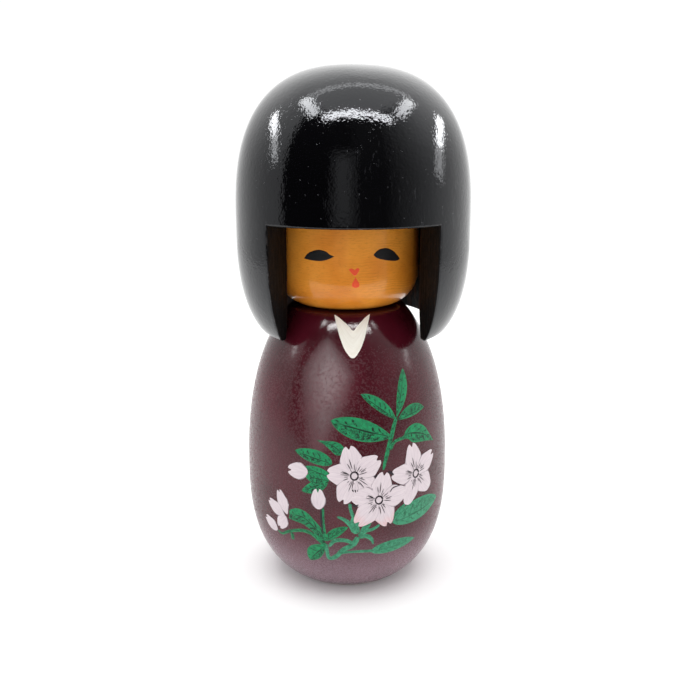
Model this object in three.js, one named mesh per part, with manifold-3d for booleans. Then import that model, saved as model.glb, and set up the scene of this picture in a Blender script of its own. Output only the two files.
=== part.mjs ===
// Kokeshi doll with bobbed hair: an egg-shaped body, a neck peg, a face core and a hair cap, all turned in wood.
// Millimetres, +Z up. The origin is the centre of the flat base and the face looks along -Y.
import * as THREE from 'three';
import Module from 'manifold-3d';
import { mergeVertices } from 'three/addons/utils/BufferGeometryUtils.js';

const runningGap = 0.3;      // clearance between two pieces that touch
const turnedSides = 72;      // facets round a large turned piece
const pegSides = 36;         // facets round the peg and its two holes

// Body: two rounded halves that meet at the widest ring, cut flat below and above.
const bodyRadius = 33;
const bodyWidestZ = 38;
const bodyTopZ = 91.3;
const bodyUpperReach = 61.2; // height at which the upper half would close
const bodyUpperPower = 2.25; // 2 is an ellipse, more is squarer
const bodyLowerReach = 41.3;
const bodyLowerPower = 2.6;

// Neck peg: a plain dowel, glued into the face core and free to turn in the body.
const pegRadius = 4.8;
const pegChamfer = 0.8;
const pegIntoBody = 20;
const pegIntoCore = 16;
const holeRadius = pegRadius + runningGap;
const holeSpare = 2;         // space left beyond each end of the peg

// Face core: a short cylinder with a deeply rounded lower edge, the chin.
const coreRadius = 22.9;
const coreBottomZ = bodyTopZ + runningGap;
const coreTopZ = 131.7;
const chinRound = 11;
const coreTopChamfer = 1;

// Hair cap: a tall round crown over a bob that draws in to the rim, bored from below.
const hairOffset = 2;        // the cap is glued this far towards +X
const hairRadius = 37;
const hairWidestZ = 119;
const hairTopZ = 165.2;
const hairCrownPower = 2.6;
const bobReach = 45;         // depth at which the bob would close
const bobPower = 3;
const boreRadius = 25.3;
const flareTopZ = 92;        // below this the bore opens out, clear of the body's shoulder
const flareOut = 1.5;        // added radius at the bottom of the blank
const boreTopZ = coreTopZ + runningGap;
const rimZ = 85;             // height of the rim above the middle of the doll
const rimSlope = 0.1;        // the rim rises this much per millimetre towards the back
const rimStockZ = 78;        // lower end of the turned blank, before the rim is sawn

// Window sawn out of the cap for the face: two walls that draw in towards the back, and a level fringe.
const fringeZ = 119;
const windowHalfWidth = 25;
const windowFrontY = -27;    // where the window has that half width
const windowDrawIn = 0.416;  // the half width lost per millimetre towards the back
const windowBackY = -8;
const cutMargin = 12;        // how far a cutting block runs past the wood

// Half of a rounded outline between the widest ring and a level cut, listed from the ring outwards.
// The reach is signed: upwards is positive.
function roundedHalf(radius, widestZ, reach, power, cutZ, steps) {
  const share = Math.min((cutZ - widestZ) / reach, 1);
  const lastTurn = Math.asin(share ** (power / 2));
  const points = [];
  for (let step = 0; step <= steps; step += 1) {
    const turn = lastTurn * step / steps;
    const across = Math.max(Math.cos(turn), 0) ** (2 / power);
    const along = Math.sin(turn) ** (2 / power);
    points.push(new THREE.Vector2(radius * across, widestZ + reach * along));
  }
  return points;
}

// A quarter-round corner, listed from its lower end on the flat to its upper end on the side.
function cornerRound(radius, bottomZ, round, steps) {
  const points = [];
  for (let step = 0; step <= steps; step += 1) {
    const turn = Math.PI / 2 * step / steps;
    points.push(new THREE.Vector2(
      radius - round + round * Math.sin(turn),
      bottomZ + round - round * Math.cos(turn),
    ));
  }
  return points;
}

// Turns an outline that runs upwards along the outside about the upright axis.
function turned(outline, sides) {
  const geometry = new THREE.LatheGeometry(outline, sides);
  geometry.rotateX(Math.PI / 2);
  return geometry;
}

function bodyGeometry() {
  const lower = roundedHalf(bodyRadius, bodyWidestZ, -bodyLowerReach, bodyLowerPower, 0, 12);
  const upper = roundedHalf(bodyRadius, bodyWidestZ, bodyUpperReach, bodyUpperPower, bodyTopZ, 14);
  const holeFloorZ = bodyTopZ - pegIntoBody - holeSpare;
  return turned([
    new THREE.Vector2(0, 0),
    ...lower.reverse(),
    ...upper.slice(1),
    new THREE.Vector2(holeRadius, bodyTopZ),
    new THREE.Vector2(holeRadius, holeFloorZ),
    new THREE.Vector2(0, holeFloorZ),
  ], turnedSides);
}

function neckPegGeometry() {
  const lowZ = bodyTopZ - pegIntoBody;
  const highZ = coreBottomZ + pegIntoCore;
  return turned([
    new THREE.Vector2(0, lowZ),
    new THREE.Vector2(pegRadius - pegChamfer, lowZ),
    new THREE.Vector2(pegRadius, lowZ + pegChamfer),
    new THREE.Vector2(pegRadius, highZ - pegChamfer),
    new THREE.Vector2(pegRadius - pegChamfer, highZ),
    new THREE.Vector2(0, highZ),
  ], pegSides);
}

function faceCoreGeometry() {
  const holeRoofZ = coreBottomZ + pegIntoCore + holeSpare;
  return turned([
    new THREE.Vector2(0, holeRoofZ),
    new THREE.Vector2(holeRadius, holeRoofZ),
    new THREE.Vector2(holeRadius, coreBottomZ),
    ...cornerRound(coreRadius, coreBottomZ, chinRound, 8),
    new THREE.Vector2(coreRadius, coreTopZ - coreTopChamfer),
    new THREE.Vector2(coreRadius - coreTopChamfer, coreTopZ),
    new THREE.Vector2(0, coreTopZ),
  ], turnedSides);
}

function hairBlankGeometry() {
  const bob = roundedHalf(hairRadius, hairWidestZ, -bobReach, bobPower, rimStockZ, 12);
  const crown = roundedHalf(
    hairRadius, hairWidestZ, hairTopZ - hairWidestZ, hairCrownPower, hairTopZ, 18,
  );
  crown[crown.length - 1].x = 0;
  return turned([
    new THREE.Vector2(0, boreTopZ),
    new THREE.Vector2(boreRadius, boreTopZ),
    new THREE.Vector2(boreRadius, flareTopZ),
    new THREE.Vector2(boreRadius + flareOut, rimStockZ),
    ...bob.reverse(),
    ...crown.slice(1),
  ], turnedSides);
}

// A wedge-shaped block, level on top, that opens the cap in front of the face.
function windowBlockGeometry() {
  const frontY = -hairRadius - cutMargin;
  const halfWidthAt = (y) => windowHalfWidth - windowDrawIn * (y - windowFrontY);
  const plan = new THREE.Shape([
    new THREE.Vector2(-halfWidthAt(frontY), frontY),
    new THREE.Vector2(halfWidthAt(frontY), frontY),
    new THREE.Vector2(halfWidthAt(windowBackY), windowBackY),
    new THREE.Vector2(-halfWidthAt(windowBackY), windowBackY),
  ]);
  const floorZ = rimStockZ - cutMargin;
  const geometry = new THREE.ExtrudeGeometry(plan, { depth: fringeZ - floorZ, bevelEnabled: false });
  geometry.translate(0, 0, floorZ);
  return geometry;
}

// A block below the sloping rim.
function rimBlockGeometry() {
  const width = 2 * (hairRadius + cutMargin);
  const height = 2 * cutMargin;
  const geometry = new THREE.BoxGeometry(width, width, height);
  geometry.translate(0, 0, -height / 2);
  geometry.rotateX(Math.atan(rimSlope));
  geometry.translate(0, 0, rimZ);
  return geometry;
}

const wasm = await Module();
wasm.setup();

function toManifold(geometry) {
  const bare = geometry.clone();
  bare.deleteAttribute('normal');
  bare.deleteAttribute('uv');
  const welded = mergeVertices(bare, 1e-4);
  return new wasm.Manifold(new wasm.Mesh({
    numProp: 3,
    vertProperties: new Float32Array(welded.attributes.position.array),
    triVerts: new Uint32Array(welded.index.array),
  }));
}

function toGeometry(solid) {
  const mesh = solid.getMesh();
  const geometry = new THREE.BufferGeometry();
  geometry.setAttribute('position', new THREE.BufferAttribute(mesh.vertProperties, 3));
  geometry.setIndex(new THREE.BufferAttribute(mesh.triVerts, 1));
  const faceted = geometry.toNonIndexed();
  faceted.computeVertexNormals();
  return faceted;
}

function hairCapGeometry() {
  const blank = toManifold(hairBlankGeometry());
  const opened = blank.subtract(toManifold(windowBlockGeometry()));
  return toGeometry(opened.subtract(toManifold(rimBlockGeometry())));
}

function piece(name, geometry, color, roughness) {
  const mesh = new THREE.Mesh(geometry, new THREE.MeshStandardMaterial({ color, roughness, metalness: 0 }));
  mesh.name = name;
  return mesh;
}

const doll = new THREE.Group();
doll.add(piece('body', bodyGeometry(), 0x4a1220, 0.35));

const head = new THREE.Group();
head.add(piece('neck_peg', neckPegGeometry(), 0xc8a070, 0.7));
head.add(piece('face_core', faceCoreGeometry(), 0xc8803c, 0.35));

const hairCap = piece('hair_cap', hairCapGeometry(), 0x0c0b0c, 0.15);
hairCap.position.x = hairOffset;
head.add(hairCap);
doll.add(head);

export default doll;
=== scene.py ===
"""Kokeshi doll with bobbed hair: lacquered body, waxed face core, black hair cap, brush-painted flowers."""

import math

import bmesh
import bpy
from mathutils import Matrix, Vector


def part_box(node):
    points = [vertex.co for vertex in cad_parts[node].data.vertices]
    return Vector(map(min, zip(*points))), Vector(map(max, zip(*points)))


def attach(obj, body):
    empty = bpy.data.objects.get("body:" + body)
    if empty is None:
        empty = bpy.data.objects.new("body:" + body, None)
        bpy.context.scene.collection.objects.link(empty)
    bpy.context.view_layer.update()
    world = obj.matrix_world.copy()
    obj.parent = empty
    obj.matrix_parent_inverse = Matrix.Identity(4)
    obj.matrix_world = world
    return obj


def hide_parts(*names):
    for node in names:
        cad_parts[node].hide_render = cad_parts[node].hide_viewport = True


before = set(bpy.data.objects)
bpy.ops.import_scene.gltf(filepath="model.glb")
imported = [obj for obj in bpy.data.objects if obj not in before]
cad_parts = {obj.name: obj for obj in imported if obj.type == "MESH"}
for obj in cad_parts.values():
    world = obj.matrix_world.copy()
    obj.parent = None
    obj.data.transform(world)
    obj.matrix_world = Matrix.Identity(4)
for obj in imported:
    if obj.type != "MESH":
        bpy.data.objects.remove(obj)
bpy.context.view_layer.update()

MM = 0.001

# ---------------------------------------------------------------- sizes, in metres; part boxes read from model.glb
BODY_LOW, BODY_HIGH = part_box("body")
CORE_LOW, CORE_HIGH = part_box("face_core")
PEG_LOW, PEG_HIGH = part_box("neck_peg")
HAIR_LOW, HAIR_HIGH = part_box("hair_cap")

BODY_RADIUS = (BODY_HIGH.x - BODY_LOW.x) / 2
BODY_TOP = BODY_HIGH.z
BODY_WIDEST = 38 * MM
BODY_UPPER_REACH = 61.2 * MM
BODY_UPPER_POWER = 2.25
BODY_LOWER_REACH = 41.3 * MM
BODY_LOWER_POWER = 2.6

PEG_RADIUS = (PEG_HIGH.x - PEG_LOW.x) / 2
GAP = CORE_LOW.z - BODY_TOP
HOLE_RADIUS = PEG_RADIUS + GAP
HOLE_SPARE = 2 * MM

CORE_RADIUS = (CORE_HIGH.x - CORE_LOW.x) / 2
CORE_BOTTOM = CORE_LOW.z
CORE_TOP = CORE_HIGH.z
CHIN_ROUND = 11 * MM

HAIR_X = (HAIR_HIGH.x + HAIR_LOW.x) / 2
HAIR_RADIUS = (HAIR_HIGH.x - HAIR_LOW.x) / 2
HAIR_TOP = HAIR_HIGH.z
HAIR_WIDEST = 119 * MM
HAIR_CROWN_POWER = 2.6
BOB_REACH = 45 * MM
BOB_POWER = 3
BORE_RADIUS = 25.3 * MM
BORE_TOP = CORE_TOP + GAP
FLARE_TOP = 92 * MM
FLARE_SLOPE = 1.5 / 14
RIM_MIDDLE = 85 * MM
RIM_SLOPE = 0.1
FRINGE = 119 * MM
WINDOW_HALF_WIDTH = 25 * MM
WINDOW_FRONT = -27 * MM
WINDOW_DRAW_IN = 0.416
WINDOW_LEAN = math.atan(WINDOW_DRAW_IN)

TURNING_STEPS = 180
WINDOW_STEPS = 21
CHIN_STEPS = 14
SHARP = math.radians(35)


# ---------------------------------------------------------------- node materials
class Wire:
    """An output socket. Arithmetic on it adds Math nodes to its tree."""

    def __init__(self, nodes, socket):
        self.nodes = nodes
        self.socket = socket

    def math(self, operation, *values):
        return self.nodes.node("ShaderNodeMath", {"operation": operation}, dict(enumerate(values)))

    def __add__(self, other):
        return self.math("ADD", self, other)

    def __radd__(self, other):
        return self.math("ADD", other, self)

    def __sub__(self, other):
        return self.math("SUBTRACT", self, other)

    def __rsub__(self, other):
        return self.math("SUBTRACT", other, self)

    def __mul__(self, other):
        return self.math("MULTIPLY", self, other)

    def __rmul__(self, other):
        return self.math("MULTIPLY", other, self)

    def __truediv__(self, other):
        return self.math("DIVIDE", self, other)

    def __rtruediv__(self, other):
        return self.math("DIVIDE", other, self)

    def __pow__(self, other):
        return self.math("POWER", self, other)

    def __neg__(self):
        return self.math("MULTIPLY", self, -1.0)

    def __abs__(self):
        return self.math("ABSOLUTE", self)

    def sine(self):
        return self.math("SINE", self)

    def lower(self, other):
        return self.math("MINIMUM", self, other)

    def higher(self, other):
        return self.math("MAXIMUM", self, other)


class Nodes:
    """A node tree. Every node in it is made by node()."""

    def __init__(self, tree):
        self.tree = tree

    def node(self, kind, settings=None, links=None, output=0):
        made = self.tree.nodes.new(kind)
        for key, value in (settings or {}).items():
            setattr(made, key, value)
        for key, value in (links or {}).items():
            self.plug(made.inputs[key], value)
        return Wire(self, made.outputs[output])

    def plug(self, socket, value):
        if isinstance(value, Wire):
            self.tree.links.new(value.socket, socket)
        else:
            socket.default_value = value

    def step(self, value, low, high, start=0.0, end=1.0, kind="SMOOTHSTEP"):
        """Goes from start to end while the value goes from low to high."""
        links = {"Value": value, "From Min": low, "From Max": high, "To Min": start, "To Max": end}
        return self.node("ShaderNodeMapRange", {"interpolation_type": kind}, links)

    def parts(self, where):
        """The three parts of a vector."""
        first = self.node("ShaderNodeSeparateXYZ", links={0: where})
        return [Wire(self, output) for output in first.socket.node.outputs]

    def blend(self, share, first, second):
        """Two colours mixed by a share."""
        settings = {"data_type": "RGBA", "blend_type": "MIX"}
        return self.node("ShaderNodeMix", settings, {0: share, 6: first, 7: second}, output=2)

    def between(self, share, first, second):
        """Two numbers mixed by a share."""
        return share * (second - first) + first


class Finish(Nodes):
    """One node material; apply() feeds its shader."""

    def __init__(self, name, **constants):
        self.material = bpy.data.materials.new(name)
        self.material.use_nodes = True
        super().__init__(self.material.node_tree)
        self.shader = self.tree.nodes["Principled BSDF"]
        for socket, value in constants.items():
            self.shader.inputs[socket.replace("_", " ")].default_value = value

    def place(self, stretch=(1, 1, 1), offset=(0, 0, 0)):
        """Object coordinates, moved and stretched by a Mapping node."""
        where = self.node("ShaderNodeTexCoord", output="Object")
        return self.node("ShaderNodeMapping", links={"Vector": where, "Location": offset, "Scale": stretch})

    def film_place(self, stretch=(1, 1, 1)):
        """The film's own UV: along the stroke, then across it."""
        where = self.node("ShaderNodeTexCoord", output="UV")
        return self.node("ShaderNodeMapping", links={"Vector": where, "Scale": stretch})

    def noise(self, where, scale, detail=2.0, roughness=0.5, distortion=0.0):
        links = {"Vector": where, "Scale": scale, "Detail": detail, "Roughness": roughness,
                 "Distortion": distortion}
        return self.node("ShaderNodeTexNoise", links=links)

    def bump(self, height, distance, strength=1.0):
        links = {"Height": height, "Distance": distance, "Strength": strength}
        return self.node("ShaderNodeBump", links=links, output="Normal")

    def apply(self, **sockets):
        for name, value in sockets.items():
            self.plug(self.shader.inputs[name.replace("_", " ")], value)
        return self.material


def rgb(red, green, blue):
    return (red, green, blue, 1.0)


def body_lacquer():
    """Dark maroon satin lacquer with a fine sprayed grain, pale specks that are partly dust and partly a
    painted highlight sparkle, and a painted reflection of the floor round the foot.
    """
    finish = Finish("body_lacquer", IOR=1.43)
    where = finish.place()
    height = finish.parts(where)[2]
    grain = finish.noise(finish.place((1, 1, 0.08)), 900, 4, 0.6)
    cloud = finish.noise(where, 60, 3)
    speck = finish.noise(where, 2600, 1, 0.6)
    dust = finish.step(finish.noise(where, 1900, 2, 0.7), 0.60, 0.74)
    colour = finish.blend(finish.step(cloud, 0.3, 0.7), rgb(0.050, 0.0028, 0.0075),
                          rgb(0.074, 0.0055, 0.013))
    colour = finish.blend(finish.step(grain, 0.5, 0.8, 0.0, 0.35), colour, rgb(0.026, 0.0014, 0.0045))
    # Pale specks: partly dust and partly a painted highlight sparkle where the gloss is brightest. They fade
    # out from 74 to 88 mm, and that fade is painted shade under the head.
    colour = finish.blend(dust * finish.step(height, 88 * MM, 74 * MM, 0.0, 0.13), colour,
                          rgb(0.30, 0.19, 0.20))
    # Painted reflection: a pale speckled band round the foot stands in for the pale floor reflected in the
    # lacquer.
    painted_floor_reflection = finish.step(height, 27 * MM, 7 * MM) * finish.step(speck, 0.25, 0.75, 0.22, 0.48)
    colour = finish.blend(painted_floor_reflection, colour, rgb(0.48, 0.35, 0.42))
    cells = finish.node("ShaderNodeTexVoronoi", {"feature": "F1"}, {"Vector": where, "Scale": 2500},
                        output="Color")
    fleck = finish.parts(cells)[0]
    rough = finish.step(height, 86 * MM, 64 * MM, 0.09, 0.16)
    rough = rough + fleck * fleck * finish.step(height, 88 * MM, 76 * MM, 0.06, 0.36)
    relief = speck * 0.5 + grain * 0.3 + cloud * 1.5
    return finish.apply(Base_Color=colour, Roughness=rough, Normal=finish.bump(relief, 0.00003, 0.8))


def bare_wood(name, light, dark, rings_per_metre):
    """Plain turned wood with growth rings and fine tool marks."""
    finish = Finish(name, Specular_IOR_Level=0.35)
    where = finish.place()
    wander = finish.noise(where, 40, 3) * 0.012
    across = finish.parts(where)
    rings = ((across[0] * 0.9 + across[1] * 0.3 + wander) * rings_per_metre).sine()
    fibre = finish.noise(finish.place((1, 1, 0.06)), 2200, 3, 0.6)
    tooling = (finish.node("ShaderNodeVectorMath", {"operation": "LENGTH"},
                           {0: finish.place((1, 1, 0))}, output="Value") * 9000).sine()
    share = finish.step(rings * 0.6 + fibre, 0.1, 1.1)
    return finish.apply(Base_Color=finish.blend(share, light, dark),
                        Roughness=finish.step(fibre, 0.3, 0.7, 0.5, 0.7),
                        Normal=finish.bump(fibre + tooling * 0.15, 0.00004, 0.8))


def face_wood():
    """Warm orange wood under clear wax, with close growth lines that wander round the turning."""
    finish = Finish("face_wood", Specular_IOR_Level=0.12, Coat_Roughness=0.045, Coat_IOR=1.5)
    where = finish.place()
    across = finish.parts(where)
    wander = finish.noise(finish.place((1, 1, 2.2)), 45, 3, 0.55) * 0.0042
    lines = ((across[2] + across[0] * 0.05 + wander) * 7600).sine()
    broken = finish.step(finish.noise(finish.place((0.35, 0.35, 1)), 240, 3), 0.44, 0.66)
    broken = broken * finish.step(across[0], -0.014, 0.012, 0.25, 1.0)
    fibre = finish.noise(finish.place((0.25, 0.25, 1)), 2600, 3, 0.65)
    pore = finish.step(finish.noise(finish.place((0.3, 0.3, 1)), 4200, 2), 0.66, 0.74)
    cloud = finish.noise(where, 85, 3)
    colour = finish.blend(finish.step(cloud, 0.3, 0.7), rgb(0.67, 0.210, 0.017), rgb(0.82, 0.31, 0.038))
    colour = finish.blend(finish.step(lines, 0.0, 1.0) * broken * 0.24, colour, rgb(0.30, 0.085, 0.008))
    colour = finish.blend(finish.step(fibre, 0.45, 0.75, 0.0, 0.30), colour, rgb(0.40, 0.125, 0.012))
    colour = finish.blend(pore * 0.35, colour, rgb(0.18, 0.045, 0.006))
    return finish.apply(Base_Color=colour, Coat_Weight=0.55,
                        Roughness=finish.step(fibre, 0.3, 0.7, 0.32, 0.46),
                        Normal=finish.bump(fibre + lines * broken * 0.3, 0.00002, 0.6))


def window_distance(finish):
    """How far a point stands outside the nearer sawn wall of the window, in metres."""
    across = finish.parts(finish.place(offset=(-HAIR_X, 0, 0)))
    half_width = WINDOW_HALF_WIDTH - (across[1] - WINDOW_FRONT) * WINDOW_DRAW_IN
    return abs(across[0]) - half_width, across


def hair_lacquer():
    """Black lacquer polished by hand: a gloss with orange peel, dust specks, hairline scratches and a worn
    line where the window was sawn."""
    finish = Finish("hair_lacquer", IOR=1.46, Specular_Tint=rgb(0.93, 0.955, 1.0))
    where = finish.place()
    peel = finish.noise(where, 190, 2, 0.5)
    fine = finish.noise(where, 900, 2, 0.6)
    grit = finish.noise(where, 1500, 1, 0.5)
    dust = finish.step(finish.noise(where, 1100, 1, 0.5), 0.755, 0.785)
    scratch = finish.noise(finish.place((1, 1, 0.05)), 1500, 2, 0.5, 1.2)
    scratched = finish.step(scratch, 0.66, 0.70) * finish.step(finish.noise(where, 70, 2), 0.52, 0.62)
    outside, across = window_distance(finish)
    below = finish.step(across[2], FRINGE + 0.9 * MM, FRINGE + 0.3 * MM)
    wall_edge = finish.step(abs(outside), 0.0, 0.7 * MM, 1.0, 0.0) * below
    fringe_edge = finish.step(abs(across[2] - FRINGE), 0.0, 0.6 * MM, 1.0, 0.0) * finish.step(
        outside, 0.4 * MM, 0.0)
    rubbed = wall_edge.higher(fringe_edge) * finish.step(finish.noise(where, 420, 3, 0.65), 0.36, 0.66)
    colour = finish.blend(rubbed * 0.45, rgb(0.0006, 0.0005, 0.0009), rgb(0.12, 0.11, 0.11))
    colour = finish.blend((dust + scratched * 0.5).lower(1.0) * 0.35, colour, rgb(0.06, 0.06, 0.07))
    rough = finish.step(fine, 0.3, 0.7, 0.045, 0.09) + scratched * 0.15 + rubbed * 0.3 + dust * 0.2
    relief = peel * 1.8 + fine * 1.7 + grit * 0.9 - scratched * 0.5 + dust * 1.5
    return finish.apply(Base_Color=colour, Roughness=rough, Normal=finish.bump(relief, 0.00005, 0.6))


def sawn_black():
    """The sawn and bored faces of the cap: black brushed over open grain, brown where it is thin."""
    finish = Finish("sawn_black", Specular_IOR_Level=0.12)
    fibre = finish.noise(finish.place((1, 1, 0.10)), 1500, 4, 0.65, 0.6)
    blotch = finish.noise(finish.place(), 420, 4, 0.65)
    across = finish.parts(finish.place(offset=(-HAIR_X, 0, 0)))
    bare = finish.step(blotch, 0.52, 0.70) * finish.step(fibre, 0.35, 0.6)
    low = finish.step(across[2], RIM_MIDDLE + 16 * MM, RIM_MIDDLE + 4 * MM)
    flat = finish.place((1, 1, 0), (-HAIR_X, 0, 0))
    from_axis = finish.node("ShaderNodeVectorMath", {"operation": "LENGTH"}, {0: flat}, output="Value")
    inner_edge = finish.step(from_axis, BORE_RADIUS + 1.1 * MM, BORE_RADIUS + 0.1 * MM)
    worn = inner_edge * finish.step(finish.noise(finish.place((1, 1, 0.3)), 520, 3), 0.42, 0.6)
    colour = finish.blend(bare * finish.step(low, 0.0, 1.0, 0.35, 0.9), rgb(0.0045, 0.0042, 0.0042),
                          rgb(0.021, 0.017, 0.016))
    colour = finish.blend(worn * 0.6, colour, rgb(0.085, 0.032, 0.018))
    return finish.apply(Base_Color=colour, Roughness=finish.step(fibre, 0.3, 0.7, 0.42, 0.68),
                        Normal=finish.bump(fibre * 1.4 + blotch, 0.00018, 0.9))


def brushed_paint(name, pale, deep, patch_share, gloss):
    """Opaque paint laid with a soft brush: streaks run along the stroke and pool towards its edge."""
    finish = Finish(name, Specular_IOR_Level=0.25)
    streak = finish.noise(finish.film_place((2.5, 16, 1)), 1.0, 4, 0.6, 0.4)
    patch = finish.noise(finish.place(), 700, 3, 0.6)
    colour = finish.blend(finish.step(streak, 0.32, 0.72), pale, deep)
    colour = finish.blend(finish.step(patch, 0.5, 0.75) * patch_share, colour, deep)
    return finish.apply(Base_Color=colour, Roughness=finish.step(streak, 0.3, 0.7, gloss, gloss + 0.16),
                        Normal=finish.bump(streak + patch * 0.5, 0.00003, 0.7))


def leaf_green(name, pale, deep, ink_share):
    """Green paint with a dark rib, slanting veins and a scrawl of fine ink lines on the shaded half."""
    finish = Finish(name, Specular_IOR_Level=0.25)
    along, across, _ = finish.parts(finish.film_place())
    from_rib = abs(across - 0.5) * 2.0
    patch = finish.noise(finish.place(), 900, 4, 0.7, 0.5)
    wobble = finish.noise(finish.film_place((6, 6, 1)), 1.0, 3) * 0.16
    rib = finish.step(from_rib + wobble, 0.11, 0.19, 1.0, 0.0) * finish.step(along, 0.95, 0.75)
    veins = finish.step(((along - from_rib * 0.16 + wobble * 0.5) * 44.0).sine(), 0.45, 0.80)
    veins = veins * finish.step(from_rib, 0.10, 0.25) * finish.step(from_rib, 0.86, 0.66)
    veins = veins * finish.step(patch, 0.42, 0.54)
    curl = finish.noise(finish.place(), 620, 2, 0.55, 1.6)
    scrawl = finish.step(abs(curl - 0.5), 0.018, 0.045, 1.0, 0.0)
    shaded = finish.step(across + (patch - 0.5) * 0.9, 0.42, 0.62) * finish.step(from_rib, 0.98, 0.80)
    ink = rib.higher(veins).higher(scrawl * shaded) * ink_share
    colour = finish.blend(finish.step(patch, 0.34, 0.66), pale, deep)
    colour = finish.blend(ink, colour, rgb(0.006, 0.016, 0.011))
    return finish.apply(Base_Color=colour, Roughness=finish.step(patch, 0.3, 0.7, 0.42, 0.60),
                        Normal=finish.bump(patch - ink * 0.5, 0.00003, 0.7))


def petal_white(name, blush):
    """Off-white petal paint with grey radial brush lines and a thin dark rim; blush tints the outer end."""
    finish = Finish(name, Specular_IOR_Level=0.25)
    along, across, _ = finish.parts(finish.film_place())
    lines = finish.noise(finish.film_place((1.4, 26, 1)), 1.0, 3, 0.6, 0.3)
    patch = finish.noise(finish.place(), 600, 3)
    edge = finish.step(abs(across - 0.5) * 2.0, 0.86, 0.97)
    colour = finish.blend(finish.step(lines, 0.35, 0.7), rgb(0.74, 0.65, 0.68), rgb(0.62, 0.53, 0.57))
    colour = finish.blend(finish.step(along, 0.62, 1.0) * blush * finish.step(lines, 0.3, 0.6), colour,
                          rgb(0.72, 0.36, 0.36))
    colour = finish.blend(finish.step(lines, 0.60, 0.68) * finish.step(along, 0.75, 0.3) * 0.30, colour,
                          rgb(0.22, 0.18, 0.24))
    colour = finish.blend(edge * finish.step(patch, 0.35, 0.5) * 0.75, colour, rgb(0.09, 0.05, 0.08))
    return finish.apply(Base_Color=colour, Roughness=finish.step(patch, 0.3, 0.7, 0.42, 0.60),
                        Normal=finish.bump(lines + patch, 0.00003, 0.6))


BODY_LACQUER = body_lacquer()
BASE_WOOD = bare_wood("base_wood", rgb(0.50, 0.33, 0.19), rgb(0.33, 0.19, 0.10), 1900)
PEG_WOOD = bare_wood("peg_wood", rgb(0.56, 0.40, 0.24), rgb(0.38, 0.24, 0.13), 2600)
FACE_WOOD = face_wood()
HAIR_LACQUER = hair_lacquer()
SAWN_BLACK = sawn_black()
EYE_BLACK = brushed_paint("eye_black", rgb(0.006, 0.006, 0.007), rgb(0.016, 0.016, 0.018), 0.5, 0.45)
LINE_BLACK = brushed_paint("line_black", rgb(0.016, 0.009, 0.014), rgb(0.040, 0.026, 0.036), 0.5, 0.45)
LIP_RED = brushed_paint("lip_red", rgb(0.84, 0.095, 0.028), rgb(0.72, 0.065, 0.022), 0.5, 0.35)
COLLAR_WHITE = brushed_paint("collar_white", rgb(0.97, 0.94, 0.85), rgb(0.88, 0.84, 0.74), 0.3, 0.38)
PETAL_WHITE = petal_white("petal_white", 0.0)
PETAL_BLUSH = petal_white("petal_blush", 0.75)
UPPER_GREEN = leaf_green("upper_green", rgb(0.012, 0.29, 0.105), rgb(0.010, 0.175, 0.072), 0.97)
LOWER_GREEN = leaf_green("lower_green", rgb(0.060, 0.33, 0.185), rgb(0.030, 0.225, 0.110), 0.55)


# ---------------------------------------------------------------- turned wood
def rounded_radius(height, radius, widest, upper, lower):
    """The radius of a rounded turning at a height; upper and lower are each a reach and a power."""
    reach, power = upper if height >= widest else lower
    share = min(abs(height - widest) / reach, 1.0)
    return radius * (1.0 - share ** power) ** (1.0 / power)


def body_radius(height):
    return rounded_radius(height, BODY_RADIUS, BODY_WIDEST, (BODY_UPPER_REACH, BODY_UPPER_POWER),
                          (BODY_LOWER_REACH, BODY_LOWER_POWER))


def hair_radius(height):
    return rounded_radius(height, HAIR_RADIUS, HAIR_WIDEST, (HAIR_TOP - HAIR_WIDEST, HAIR_CROWN_POWER),
                          (BOB_REACH, BOB_POWER))


def core_radius(height):
    rise = CORE_BOTTOM + CHIN_ROUND - height
    if rise <= 0:
        return CORE_RADIUS
    return CORE_RADIUS - CHIN_ROUND + math.sqrt(max(CHIN_ROUND ** 2 - rise ** 2, 0.0))


def rounded_outline(radius_at, widest, reach, power, cut, steps):
    """Outline points from the widest ring to a level cut, close together where the outline turns fastest."""
    last = math.asin(min((cut - widest) / reach, 1.0) ** (power / 2))
    heights = [widest + reach * math.sin(last * step / steps) ** (2 / power) for step in range(steps + 1)]
    heights[-1] = cut
    return [(radius_at(height), height) for height in heights]


def spun(outline, steps=TURNING_STEPS):
    """Spins an outline, a list of radius and height, into a closed turned piece."""
    shape = bmesh.new()
    points = [shape.verts.new((0, -radius, height)) for radius, height in outline]
    lines = [shape.edges.new(pair) for pair in zip(points, points[1:])]
    bmesh.ops.spin(shape, geom=points + lines, cent=(0, 0, 0), axis=(0, 0, 1), dvec=(0, 0, 0),
                   angle=2 * math.pi, steps=steps, use_merge=True, use_duplicate=False)
    bmesh.ops.remove_doubles(shape, verts=shape.verts[:], dist=1e-7)
    bmesh.ops.recalc_face_normals(shape, faces=shape.faces[:])
    return shape


def ring_edges(shape, radius, height):
    """The edges of one turned ring."""
    def on_ring(vert):
        return abs(math.hypot(vert.co.x, vert.co.y) - radius) < 1e-6 and abs(vert.co.z - height) < 1e-6
    return [edge for edge in shape.edges if on_ring(edge.verts[0]) and on_ring(edge.verts[1])]


def rounded(shape, edges, width, segments=3):
    """Rounds edges over."""
    bmesh.ops.bevel(shape, geom=edges, offset=width, offset_type="OFFSET", segments=segments, profile=0.5,
                    affect="EDGES", clamp_overlap=True, material=-1)


def made_piece(shape, name, body, finishes, sharp=SHARP):
    """Turns a bmesh into a piece that rides on a body."""
    mesh = bpy.data.meshes.new(name)
    shape.to_mesh(mesh)
    shape.free()
    for finish in finishes:
        mesh.materials.append(finish)
    mesh.shade_smooth()
    mesh.set_sharp_from_angle(angle=sharp)
    piece = bpy.data.objects.new(name, mesh)
    bpy.context.collection.objects.link(piece)
    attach(piece, body)
    return piece


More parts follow.
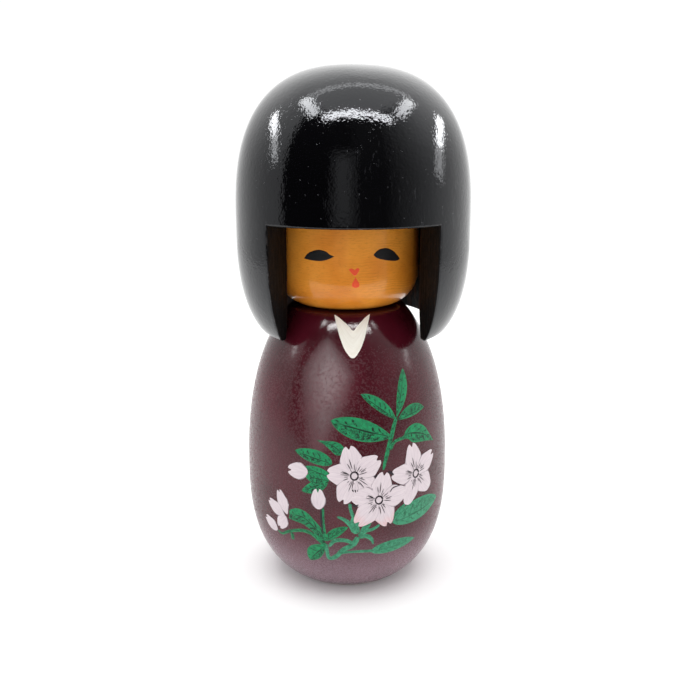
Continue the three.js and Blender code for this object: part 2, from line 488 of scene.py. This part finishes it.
def make_body():
    lower = rounded_outline(body_radius, BODY_WIDEST, -BODY_LOWER_REACH, BODY_LOWER_POWER, 0.0, 26)
    upper = rounded_outline(body_radius, BODY_WIDEST, BODY_UPPER_REACH, BODY_UPPER_POWER, BODY_TOP, 34)
    floor = PEG_LOW.z - HOLE_SPARE
    hole = [(HOLE_RADIUS, BODY_TOP), (HOLE_RADIUS, floor), (0, floor)]
    shape = spun([(0, 0), *reversed(lower), *upper[1:], *hole])
    for face in shape.faces:
        middle = face.calc_center_median()
        is_hole = math.hypot(middle.x, middle.y) < HOLE_RADIUS and middle.z > MM
        face.material_index = 1 if is_hole or middle.z < 0.01 * MM else 0
    rounded(shape, ring_edges(shape, body_radius(0.0), 0.0), 0.7 * MM)
    rounded(shape, ring_edges(shape, body_radius(BODY_TOP), BODY_TOP), 0.8 * MM)
    piece = made_piece(shape, "lacquered_body", "body", [BODY_LACQUER, BASE_WOOD])
    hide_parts("body")


def make_face_core():
    turns = [math.pi / 2 * step / CHIN_STEPS for step in range(CHIN_STEPS + 1)]
    chin = [(CORE_RADIUS - CHIN_ROUND * (1 - math.sin(turn)),
             CORE_BOTTOM + CHIN_ROUND * (1 - math.cos(turn))) for turn in turns]
    side = [(CORE_RADIUS, height * MM) for height in range(106, 130, 3)]
    roof = PEG_HIGH.z + HOLE_SPARE
    shape = spun([(0, roof), (HOLE_RADIUS, roof), (HOLE_RADIUS, CORE_BOTTOM), *chin, *side,
                  (CORE_RADIUS, CORE_TOP - MM), (CORE_RADIUS - MM, CORE_TOP), (0, CORE_TOP)])
    piece = made_piece(shape, "waxed_face_core", "head", [FACE_WOOD])
    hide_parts("face_core")


def wall_turn(radius):
    """The angle from straight ahead at which a sawn window wall meets a ring of that radius."""
    reach = (WINDOW_HALF_WIDTH + WINDOW_FRONT * WINDOW_DRAW_IN) * math.cos(WINDOW_LEAN)
    return WINDOW_LEAN + math.asin(reach / radius)


def bore_radius(height):
    return BORE_RADIUS + max(FLARE_TOP - height, 0.0) * FLARE_SLOPE


def fit_hair_vertex(vert, window_turn):
    """Slides a vertex of the spun cap round its ring, so that a column of edges lies on each sawn wall, and
    slopes the rows below the fringe towards the rim."""
    across = math.hypot(vert.co.x, vert.co.y)
    if across < 1e-6:
        return
    turn = math.atan2(vert.co.x, -vert.co.y)
    is_inner = across < bore_radius(vert.co.z) + 0.1 * MM and vert.co.z < BORE_TOP + 0.1 * MM
    fall = max(FRINGE - vert.co.z, 0.0) / (FRINGE - RIM_MIDDLE)
    radius_at = bore_radius if is_inner else hair_radius
    height = vert.co.z
    radius = radius_at(height) if fall > 0 else across
    new_turn = turn
    for _ in range(4):
        wall = wall_turn(radius if fall > 0 else radius_at(FRINGE))
        if abs(turn) <= window_turn + 1e-6:
            new_turn = turn * wall / window_turn
        else:
            left_over = (math.pi - abs(turn)) * (math.pi - wall) / (math.pi - window_turn)
            new_turn = math.copysign(math.pi - left_over, turn)
        if fall > 0:
            rim = RIM_MIDDLE - RIM_SLOPE * radius * math.cos(new_turn)
            height = FRINGE - fall * (FRINGE - rim)
            radius = radius_at(height)
    vert.co = (radius * math.sin(new_turn), -radius * math.cos(new_turn), height)


def make_hair_cap():
    """Two spun shells, crown and bore, bridged along the rim and round the window."""
    rows = 16
    falls = [FRINGE - (FRINGE - RIM_MIDDLE) * row / rows for row in range(rows + 1)]
    crown = rounded_outline(hair_radius, HAIR_WIDEST, HAIR_TOP - HAIR_WIDEST, HAIR_CROWN_POWER, HAIR_TOP, 40)
    crown[-1] = (0.0, HAIR_TOP)
    crown.insert(1, (hair_radius(FRINGE + 0.9 * MM), FRINGE + 0.9 * MM))
    outer = [*reversed(crown), *[(hair_radius(height), height) for height in falls[1:]]]
    inner = [(0.0, BORE_TOP), (BORE_RADIUS, BORE_TOP), (BORE_RADIUS, (BORE_TOP + FRINGE) / 2),
             *[(bore_radius(height), height) for height in falls]]
    shape = bmesh.new()
    for outline in (outer, inner):
        points = [shape.verts.new((0, -radius, height)) for radius, height in outline]
        lines = [shape.edges.new(pair) for pair in zip(points, points[1:])]
        bmesh.ops.spin(shape, geom=points + lines, cent=(0, 0, 0), axis=(0, 0, 1), dvec=(0, 0, 0),
                       angle=2 * math.pi, steps=TURNING_STEPS, use_merge=True, use_duplicate=False)
    bmesh.ops.remove_doubles(shape, verts=shape.verts[:], dist=1e-7)
    window_turn = WINDOW_STEPS * 2 * math.pi / TURNING_STEPS
    opened = []
    for face in shape.faces:
        middle = face.calc_center_median()
        if middle.z < FRINGE and abs(math.atan2(middle.x, -middle.y)) < window_turn:
            opened.append(face)
    bmesh.ops.delete(shape, geom=opened, context="FACES")
    for face in shape.faces:
        middle = face.calc_center_median()
        is_inside = math.hypot(middle.x, middle.y) < bore_radius(middle.z) + 0.05 * MM
        face.material_index = 1 if is_inside and middle.z < BORE_TOP + MM else 0
    for vert in shape.verts:
        fit_hair_vertex(vert, window_turn)
    edges = [edge for edge in shape.edges if edge.is_boundary]
    bridged = bmesh.ops.bridge_loops(shape, edges=edges)
    for face in bridged["faces"]:
        face.material_index = 1
    arris = [edge for edge in edges if edge.is_valid]
    bmesh.ops.recalc_face_normals(shape, faces=shape.faces[:])
    rounded(shape, arris, 0.55 * MM)
    bmesh.ops.translate(shape, verts=shape.verts[:], vec=(HAIR_X, 0, 0))
    piece = made_piece(shape, "lacquered_hair_cap", "head", [HAIR_LACQUER, SAWN_BLACK])
    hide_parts("hair_cap")


# ---------------------------------------------------------------- brush work
def on_turning(radius_at, around, up, lift):
    """The place on a turned piece. Around is the arc from straight ahead, measured at the widest ring, and
    up is the height; lift is the distance outwards from the wood."""
    widest = BODY_RADIUS if radius_at is body_radius else CORE_RADIUS
    tiny = 0.05 * MM
    slope = (radius_at(up + tiny) - radius_at(up - tiny)) / (2 * tiny)
    length = math.hypot(1.0, slope)
    turn = around / widest
    radius = radius_at(up) + lift / length
    return Vector((radius * math.sin(turn), -radius * math.cos(turn), up - lift * slope / length))


def smooth_line(points, share):
    """A point on the smooth line through the given points, at a share of the way along."""
    count = len(points) - 1
    if count == 1:
        return Vector(points[0]).lerp(Vector(points[1]), share)
    at = min(share * count, count - 1e-6)
    index = int(at)
    t = at - index
    p1, p2 = Vector(points[index]), Vector(points[index + 1])
    p0 = Vector(points[index - 1]) if index > 0 else p1 * 2 - p2
    p3 = Vector(points[index + 2]) if index + 2 <= count else p2 * 2 - p1
    return 0.5 * (2 * p1 + (p2 - p0) * t + (2 * p0 - 5 * p1 + 4 * p2 - p3) * t ** 2
                  + (3 * p1 - p0 - 3 * p2 + p3) * t ** 3)


class Brush:
    """Lays films of paint on one turned piece and gathers those of one finish into one piece."""

    def __init__(self, name, body, slot, finish, radius_at, thickness=0.05 * MM):
        self.name = name
        self.body = body
        self.slot = slot
        self.finish = finish
        self.radius_at = radius_at
        self.thickness = thickness
        self.shape = bmesh.new()
        self.shape.loops.layers.uv.new("UVMap")

    def film(self, flat_place, along, across, layer=0):
        """A grid of paint; shares along and across the stroke give its flat place in millimetres."""
        made = bmesh.ops.create_grid(self.shape, x_segments=along, y_segments=across, size=0.5,
                                     calc_uvs=True)
        faces = list({face for vert in made["verts"] for face in vert.link_faces})
        base = self.thickness * 0.8 * layer
        for vert in made["verts"]:
            share, side = vert.co.x + 0.5, vert.co.y + 0.5
            spot = flat_place(share, side)
            rim = max(abs(2 * side - 1), abs(2 * share - 1))
            lift = base + self.thickness * (1.0 - 1.6 * rim ** 10)
            vert.co = on_turning(self.radius_at, spot[0] * MM, spot[1] * MM, lift)
        facing = 0.0
        for face in faces:
            face.normal_update()
            middle = face.calc_center_median()
            facing += face.normal.dot(Vector((middle.x, middle.y, 0))) * face.calc_area()
        if facing < 0:
            bmesh.ops.reverse_faces(self.shape, faces=faces)

    def between(self, first, second, along=24, across=8, layer=0):
        """Paint between two drawn edges."""
        def place(share, side):
            return smooth_line(first, share).lerp(smooth_line(second, share), side)
        self.film(place, along, across, layer)

    def stroke(self, points, widths, along=28, across=5, layer=0):
        """A brush stroke along a line; the widths are at its start, middle and end."""
        def place(share, side):
            here = smooth_line(points, share)
            ahead = smooth_line(points, min(share + 0.01, 1.0)) - smooth_line(points, max(share - 0.01, 0.0))
            ahead = ahead.normalized()
            width = smooth_line([(w, 0) for w in widths], share)[0]
            end = math.sqrt(max(1 - (2 * share - 1) ** 12, 0.0))
            return here + Vector((-ahead.y, ahead.x)) * (side - 0.5) * width * (0.25 + 0.75 * end)
        self.film(place, along, across, layer)

    def leaf(self, base, tip, left, right, bend=0.0, layer=0, fullest=0.45):
        """A pointed leaf; left and right are how far it bulges to each side on the way to the tip."""
        base, tip = Vector(base), Vector(tip)
        ahead = tip - base
        side_way = Vector((-ahead.y, ahead.x)).normalized()

        def place(share, side):
            early = fullest / (1 - fullest)
            bulge = (share ** early * (1 - share)) ** 0.8
            most = (fullest ** early * (1 - fullest)) ** 0.8
            spine = base + ahead * share + side_way * bend * math.sin(math.pi * share)
            width = (left if side > 0.5 else right) * abs(2 * side - 1)
            return spine + side_way * math.copysign(width, side - 0.5) * bulge / most
        self.film(place, 26, 11, layer)

    def petal(self, base, turn, length, width, notch, layer=0, rounded_base=False):
        """A petal with a notched end; the turn is in degrees from straight across."""
        base = Vector(base)
        ahead = Vector((math.cos(math.radians(turn)), math.sin(math.radians(turn))))
        side_way = Vector((-ahead.y, ahead.x))

        def place(share, side):
            across = 2 * side - 1
            if rounded_base:
                spread = math.sin(math.pi * (0.01 + 0.72 * share)) ** 0.55
            else:
                spread = math.sin(math.pi * (0.02 + 0.70 * share ** 1.25)) ** 0.8
            reach = share * length * (1 - 0.36 * abs(across) ** 3 - notch * max(0.0, 1 - abs(across) / 0.24))
            return base + ahead * reach + side_way * across * spread * width / 2
        self.film(place, 18, 21, layer)

    def done(self):
        """Gives every film a back, sunk in the wood, and makes the piece."""
        shape = self.shape
        for face in shape.faces:
            face.normal_update()
        bmesh.ops.solidify(shape, geom=shape.faces[:], thickness=self.thickness)
        return made_piece(shape, self.name, self.body, [self.finish])


def paint_face():
    eyes = Brush("painted_eyes", "head", "black_paint", EYE_BLACK, core_radius)
    eyes.between([(-13.7, 108.5), (-12.0, 110.4), (-8.9, 111.6), (-6.3, 111.2), (-5.0, 110.2),
                  (-3.6, 109.6)],
                 [(-13.7, 108.5), (-11.3, 108.1), (-9.4, 107.9), (-7.6, 108.0), (-5.6, 108.6),
                  (-3.6, 109.6)])
    eyes.between([(8.0, 109.85), (9.6, 111.4), (12.2, 111.95), (14.8, 110.95), (16.6, 109.4), (17.8, 108.1)],
                 [(8.1, 109.85), (9.3, 108.8), (11.6, 108.05), (15.0, 107.5), (16.9, 107.6), (17.8, 107.95)])
    eyes.done()
    lips = Brush("painted_lips", "head", "red_paint", LIP_RED, core_radius)
    lips.between([(0.6, 105.8), (1.3, 104.7), (2.4, 103.8), (3.4, 104.7), (3.9, 105.9)],
                 [(0.6, 105.8), (1.5, 106.15), (2.35, 105.75), (3.1, 106.25), (3.9, 105.9)], 16, 8)
    lips.between([(2.65, 103.5), (2.1, 102.5), (1.5, 101.4), (1.7, 100.5), (2.7, 100.1)],
                 [(2.65, 103.5), (3.2, 102.5), (3.9, 101.4), (3.7, 100.5), (2.7, 100.1)], 16, 8)
    lips.done()


def paint_collar():
    collar = Brush("painted_collar", "body", "white_paint", COLLAR_WHITE, body_radius)
    collar.between([(-6.8, 91.1), (-4.9, 88.2), (-2.7, 84.4), (-0.4, 81.0), (2.3, 79.1), (5.0, 81.0),
                    (7.6, 84.4), (10.2, 88.2), (12.9, 91.1)],
                   [(-6.4, 91.1), (-3.8, 90.4), (-1.2, 89.4), (1.0, 88.4), (3.0, 87.2), (5.0, 88.4),
                    (7.0, 89.3), (9.8, 90.4), (12.6, 91.1)], 48, 12)
    collar.done()


def paint_upper_leaves():
    green = Brush("painted_upper_leaves", "body", "green_paint", UPPER_GREEN, body_radius)
    green.stroke([(16.8, 61.5), (15.7, 59.4), (14.0, 54.7), (12.5, 49.9), (11.3, 45.3)], (1.2, 1.7, 1.1))
    green.leaf((16.5, 61.0), (21.9, 75.2), 1.5, 2.4, layer=1, fullest=0.58)
    green.leaf((16.2, 60.8), (4.6, 69.1), 0.9, 2.6, layer=1, fullest=0.5)
    green.leaf((17.0, 60.4), (29.0, 62.3), 2.9, 0.7, layer=1, fullest=0.52)
    green.leaf((14.6, 55.6), (-5.1, 61.4), 3.4, 3.3, layer=1, fullest=0.54)
    green.stroke([(13.7, 51.6), (15.6, 54.0), (19.6, 54.8)], (1.3, 1.1, 1.3))
    green.between([(18.6, 54.9), (20.4, 57.2), (24.0, 58.2), (27.8, 56.6), (30.4, 53.6), (32.8, 50.5)],
                  [(18.6, 54.4), (20.6, 53.9), (22.4, 52.5), (26.0, 51.9), (29.4, 51.4), (32.8, 50.5)],
                  layer=1)
    green.done()


def paint_left_leaves():
    green = Brush("painted_left_leaves", "body", "green_paint", UPPER_GREEN, body_radius)
    green.between([(-9.6, 55.2), (-6.6, 55.2), (-3.4, 55.2), (-1.2, 54.0), (-0.4, 51.8)],
                  [(-9.6, 55.2), (-7.4, 54.2), (-5.2, 52.4), (-3.4, 50.8), (-1.6, 51.0)])
    green.leaf((-4.4, 48.2), (-16.8, 51.1), 1.7, 2.7, layer=1, fullest=0.42)
    green.leaf((-4.9, 44.0), (-13.6, 46.4), 1.9, 1.7, layer=1)
    green.leaf((-5.4, 42.8), (-13.0, 43.6), 2.1, 1.6, layer=2)
    green.leaf((-5.8, 42.6), (-14.3, 38.4), 2.1, 1.6, layer=1)
    green.between([(-6.8, 22.6), (-7.2, 25.8), (-10.4, 29.6), (-12.9, 31.8), (-15.8, 32.5), (-19.2, 31.4)],
                  [(-7.2, 21.2), (-9.0, 23.2), (-12.0, 25.8), (-14.2, 27.0), (-16.4, 27.4), (-19.6, 28.0)])
    green.stroke([(-7.4, 34.4), (-7.3, 30.7), (-7.2, 27.3), (-6.9, 22.0)], (0.9, 0.8, 1.4))
    green.stroke([(-25.4, 22.6), (-23.2, 21.6), (-19.8, 23.4), (-14.9, 24.9), (-11.4, 24.4), (-8.6, 22.2),
                  (-6.6, 20.6)], (0.7, 1.3, 1.9))
    green.stroke([(-19.0, 23.6), (-18.6, 22.2), (-18.8, 20.6)], (0.9, 1.5, 1.2), 12)
    green.leaf((-6.8, 20.9), (-13.4, 14.0), 1.9, 3.2, layer=1, fullest=0.55)
    green.leaf((-6.9, 22.4), (0.4, 27.6), 2.1, 0.9, layer=1)
    green.done()


def paint_lower_leaves():
    green = Brush("painted_lower_leaves", "body", "green_paint", LOWER_GREEN, body_radius)
    green.stroke([(-6.4, 21.4), (-6.6, 18.6), (-6.0, 15.8), (-3.6, 16.6), (-1.4, 19.2), (2.1, 21.4),
                  (3.6, 24.4)], (1.2, 1.7, 2.3), 36)
    green.stroke([(-5.8, 20.4), (-3.9, 22.6), (-0.7, 22.9), (1.9, 21.9)], (1.0, 1.4, 1.2), layer=1)
    green.stroke([(2.8, 31.0), (2.4, 28.4), (3.2, 25.2)], (2.6, 2.8, 2.0), 20, layer=1)
    green.stroke([(-3.1, 31.2), (-0.6, 30.0), (1.2, 28.2), (2.4, 25.6)], (0.8, 1.6, 1.8), 20)
    green.stroke([(3.6, 24.2), (6.0, 26.0), (8.2, 26.4), (10.6, 27.8)], (2.0, 1.3, 1.0), 20)
    green.leaf((4.2, 24.6), (8.2, 30.4), 1.2, 0.9)
    green.stroke([(3.6, 24.0), (6.2, 24.2), (8.0, 22.8), (8.7, 20.8)], (1.7, 1.6, 0.5), 20)
    green.stroke([(0.9, 35.6), (1.2, 33.4), (2.2, 30.6)], (1.2, 1.1, 1.4), 14)
    green.stroke([(-5.4, 15.9), (-1.7, 18.1), (3.3, 18.6), (9.8, 18.4)], (1.3, 1.0, 1.3))
    green.leaf((8.0, 18.2), (25.0, 19.4), 2.6, 1.9, layer=1, fullest=0.42)
    green.leaf((14.8, 27.6), (35.6, 30.6), 4.6, 2.9, layer=1, fullest=0.46)
    green.leaf((14.8, 29.2), (19.6, 33.4), 0.9, 0.6, layer=2)
    green.done()


def paint_flower(name, centre, petals, layer):
    """Notched petals, a ring and fine lines that run out from it. Each petal is a turn, a length, a width,
    the depth of its notch and whether it blushes."""
    centre = Vector(centre)
    plain = Brush(name + "_petals", "body", "white_paint", PETAL_WHITE, body_radius)
    blushed = Brush(name + "_blushed_petals", "body", "white_paint", PETAL_BLUSH, body_radius)
    for count, (turn, length, width, notch, blushes) in enumerate(petals):
        brush = blushed if blushes else plain
        brush.petal(centre, turn, length, width, notch, layer + count % 2)
    plain.done()
    if any(petal[-1] for petal in petals):
        blushed.done()
    lines = Brush(name + "_lines", "body", "black_paint", LINE_BLACK, body_radius)
    circle = [centre + Vector((math.cos(step * math.pi / 8) * 1.12, math.sin(step * math.pi / 8) * 1.25))
              for step in range(17)]
    lines.stroke(circle, (0.66, 0.44, 0.60), 48, 4, layer + 3)
    for count, petal in enumerate(petals):
        for swing, reach in ((-20, 3.4), (-9, 4.2), (2, 5.0), (14, 3.8), (24, 3.0)):
            shift = math.sin(2.3 * count + swing)
            angle = math.radians(petal[0] + swing + 4 * math.sin(3.7 * count + swing))
            out = Vector((math.cos(angle), math.sin(angle)))
            start = 1.8 + 0.5 * math.sin(5.1 * count + swing)
            lines.stroke([centre + out * start, centre + out * (reach + 0.7 * shift)],
                         (0.12, 0.22 + 0.06 * shift, 0.08), 8, 3, layer + 3)
    lines.done()


def paint_flowers():
    paint_flower("left_flower", (2.3, 44.5), [(101, 9.5, 7.4, 0.14, False), (33, 9.3, 7.6, 0.14, False),
                                              (320, 8.4, 7.4, 0.10, False), (246, 9.6, 7.4, 0.16, False),
                                              (175, 8.4, 7.4, 0.12, False)], 3)
    paint_flower("right_flower", (23.2, 42.3), [(99, 10.1, 6.9, 0.14, False), (29, 10.0, 6.6, 0.17, False),
                                                (316, 9.4, 7.6, 0.0, False), (250, 10.2, 6.4, 0.0, False),
                                                (171, 9.2, 7.0, 0.06, False)], 3)
    paint_flower("front_flower", (9.9, 36.2), [(78, 9.0, 7.0, 0.15, False), (8, 9.6, 7.6, 0.12, False),
                                               (291, 9.6, 7.6, 0.14, True), (228, 10.4, 7.5, 0.14, True),
                                               (167, 8.7, 7.5, 0.12, False)], 6)
    marks = Brush("painted_marks", "body", "black_paint", LINE_BLACK, body_radius)
    marks.stroke([(1.7, 40.2), (2.0, 39.4)], (0.5, 0.25), 6, 3, 9)
    marks.stroke([(2.5, 40.1), (2.7, 39.2)], (0.5, 0.25), 6, 3, 9)
    marks.stroke([(3.2, 40.0), (3.3, 39.5)], (0.4, 0.2), 6, 3, 9)
    marks.stroke([(1.4, 35.6), (2.3, 34.8), (3.6, 35.2)], (0.4, 0.6, 0.3), 10, 4, 9)
    marks.stroke([(6.8, 44.6), (8.2, 43.9), (9.6, 44.2)], (0.5, 0.7, 0.4), 10, 4, 2)
    marks.stroke([(12.9, 44.9), (14.1, 44.3), (15.2, 43.2)], (0.6, 0.9, 0.5), 10, 4, 2)
    marks.stroke([(13.4, 38.2), (14.6, 39.6), (17.6, 40.0)], (0.2, 0.35, 0.2), 12, 3, 10)
    marks.stroke([(-8.0, 33.4), (-7.9, 30.2), (-7.7, 26.6), (-7.2, 22.6)], (0.7, 1.0, 0.5), 16, 4, 0)
    marks.done()


def paint_buds():
    buds = Brush("painted_buds", "body", "white_paint", PETAL_WHITE, body_radius)
    buds.petal((-12.2, 45.0), 184, 7.0, 5.6, 0.22, 3, True)
    buds.petal((-8.7, 33.2), 92, 6.7, 4.9, 0.22, 3, True)
    buds.petal((-19.9, 29.4), 113, 8.2, 4.6, 0.12, 3)
    buds.petal((-20.7, 28.3), 150, 8.2, 4.6, 0.12, 4)
    buds.petal((-20.6, 28.6), 236, 5.8, 4.6, 0.12, 3, True)
    buds.petal((-25.0, 22.4), 150, 6.4, 4.4, 0.16, 3, True)
    buds.done()


make_body()
make_face_core()
make_hair_cap()
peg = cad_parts["neck_peg"]
peg.data.materials.clear()
peg.data.materials.append(PEG_WOOD)
paint_face()
paint_collar()
paint_upper_leaves()
paint_left_leaves()
paint_lower_leaves()
paint_flowers()
paint_buds()


# ---------------------------------------------------------------- floor, light and camera
DOLL_MIDDLE = Vector((0, 0, 0.12))
FLOOR_REACH = 0.5
FLOOR_SHIFT = 0.29
FLOOR_GLOW = 0.05
ROOM_LIGHT = 0.80
ROOF_LIGHT = 2.30
BACKDROP_LIGHT = 1.05
BODY_GLOW = 2.0
BODY_GLOW_HALVES = (0.20, 0.38, 0.58)
LENS = 46.39
CAMERA_PLACE = (0.98 * MM, -288 * MM, 147.3 * MM)
CAMERA_PITCH = 14


def make_floor():
    """A pale sheet with a faint mottle and a faint glow. Its front edge lies close to the doll, and so it
    stays out of the gloss on the middle of the body."""
    finish = Finish("pale_floor", Roughness=0.9, Specular_IOR_Level=0.0, Emission_Strength=FLOOR_GLOW)
    mottle = finish.noise(finish.place(), 6, 3)
    colour = finish.blend(finish.step(mottle, 0.3, 0.7), rgb(0.92, 0.92, 0.92), rgb(0.95, 0.95, 0.95))
    finish.apply(Base_Color=colour, Emission_Color=colour)
    shape = bmesh.new()
    bmesh.ops.create_grid(shape, x_segments=8, y_segments=8, size=FLOOR_REACH)
    bmesh.ops.translate(shape, verts=shape.verts[:], vec=(0, FLOOR_SHIFT, 0))
    mesh = bpy.data.meshes.new("floor")
    shape.to_mesh(mesh)
    shape.free()
    mesh.materials.append(finish.material)
    floor = bpy.data.objects.new("floor", mesh)
    bpy.context.collection.objects.link(floor)


def make_strip(name, start, end, width, brightness, in_gloss_only=True):
    """A strip of lamp from start to end, turned to face the doll."""
    start, end = Vector(start), Vector(end)
    middle = (start + end) / 2
    length = (end - start).length
    lamp = bpy.data.lights.new(name, "AREA")
    lamp.shape = "RECTANGLE"
    lamp.size = width
    lamp.size_y = length
    lamp.energy = brightness * math.pi * width * length
    light = bpy.data.objects.new(name, lamp)
    bpy.context.collection.objects.link(light)
    along = (end - start).normalized()
    back = (middle - DOLL_MIDDLE).normalized()
    side = along.cross(back).normalized()
    back = side.cross(along)
    light.matrix_world = Matrix.Translation(middle) @ Matrix((side, along, back)).transposed().to_4x4()
    light.visible_diffuse = not in_gloss_only
    return light


def light_only(name, lights, pieces):
    """Keeps these lights for the named pieces."""
    lit = bpy.data.collections.new(name)
    for piece in pieces:
        lit.objects.link(bpy.data.objects[piece])
    for light in lights:
        light.light_linking.receiver_collection = lit


def make_lights():
    """A white tent: seams glow round its roof opening and down each side, a gap glows beside the camera, and
    three slanted strips glow on the body alone. These show in gloss only; the roof lights the room."""
    make_strip("roof_front", (-0.26, -0.285, 0.60), (0.34, -0.285, 0.60), 0.055, 25.0)
    make_strip("roof_left", (-0.30, -0.22, 0.60), (-0.30, 0.04, 0.60), 0.080, 14.0)
    make_strip("roof_right", (0.37, -0.20, 0.60), (0.37, 0.10, 0.60), 0.080, 12.0)
    make_strip("roof_back", (-0.24, 0.03, 0.60), (0.33, 0.12, 0.60), 0.035, 3.2)
    make_strip("fold_left", (-0.425, 0.175, 0.448), (-0.469, 0.009, 0.363), 0.055, 19.0)
    make_strip("fold_left_low", (-0.469, 0.009, 0.363), (-0.467, -0.078, 0.253), 0.050, 6.0)
    make_strip("fold_right", (0.409, 0.218, 0.382), (0.471, 0.045, 0.295), 0.055, 22.0)
    make_strip("fold_right_low", (0.471, 0.045, 0.295), (0.476, -0.029, 0.182), 0.070, 3.5)
    make_strip("camera_gap", (-0.20, -1.20, 0.00), (-0.20, -1.20, 0.62), 0.28, 0.26)
    make_strip("camera_gap_wide", (-0.20, -1.25, -0.10), (-0.20, -1.25, 0.78), 0.56, 0.22)
    roof = make_strip("roof_light", (0, -0.42, 0.75), (0, 0.50, 0.75), 0.9, ROOF_LIGHT, False)
    roof.visible_glossy = False
    glows = []
    for count, half in enumerate(BODY_GLOW_HALVES):
        middle = Vector((-0.50 - 0.16 * count, -1.10 - 0.02 * count, 0.56 + 0.06 * count))
        rise = Vector((-half, 0, half))
        glows.append(make_strip(f"body_glow_{count}", middle - rise, middle + rise, half * 2.3, BODY_GLOW))
    light_only("lit_by_body_glow", glows, ["lacquered_body"])


def make_world():
    """White all round to the eye, soft white for the room's light, and for gloss a white tent whose dark
    opening, ahead of the doll, has a hard left edge and a soft right edge."""
    world = bpy.data.worlds.new("studio")
    world.use_nodes = True
    world.node_tree.nodes["Background"].inputs["Color"].default_value = rgb(1.0, 1.0, 1.0)
    bpy.context.scene.world = world
    room = Nodes(world.node_tree)
    direction = room.node("ShaderNodeTexCoord", output="Generated")
    right, back, up = room.parts(direction)
    level = (right * right + back * back) ** 0.5
    ahead = -back / level.higher(0.001)
    left_side = room.step(ahead, 0.29, 0.36, 0.80, 0.03)
    right_side = room.step(ahead, 0.0, 0.86, 0.95, 0.06, "LINEAR")
    sides = room.between(room.step(right, -0.05, 0.05), left_side, right_side) + (-ahead).higher(0.0) * 0.4
    tent = room.between(room.step(up, 0.83, 0.88), sides, 1.15) * room.step(up, 0.1, 0.7, 1.0, 1.7)
    seen = room.node("ShaderNodeLightPath")
    rays = seen.socket.node.outputs
    is_camera, is_gloss = (Wire(room, rays[name]) for name in ("Is Camera Ray", "Is Glossy Ray"))
    strength = room.between(is_camera, room.between(is_gloss, ROOM_LIGHT, tent), BACKDROP_LIGHT)
    room.plug(world.node_tree.nodes["Background"].inputs["Strength"], strength)


def make_camera():
    camera = bpy.data.objects.new("camera", bpy.data.cameras.new("camera"))
    bpy.context.collection.objects.link(camera)
    camera.data.sensor_width = 36
    camera.data.lens = LENS
    camera.location = CAMERA_PLACE
    camera.rotation_euler = (math.radians(90 - CAMERA_PITCH), 0, 0)
    camera.data.clip_start = 0.01
    camera.data.clip_end = 20
    bpy.context.scene.camera = camera


make_floor()
make_world()
make_lights()
make_camera()
bpy.context.scene.view_settings.view_transform = "Standard"
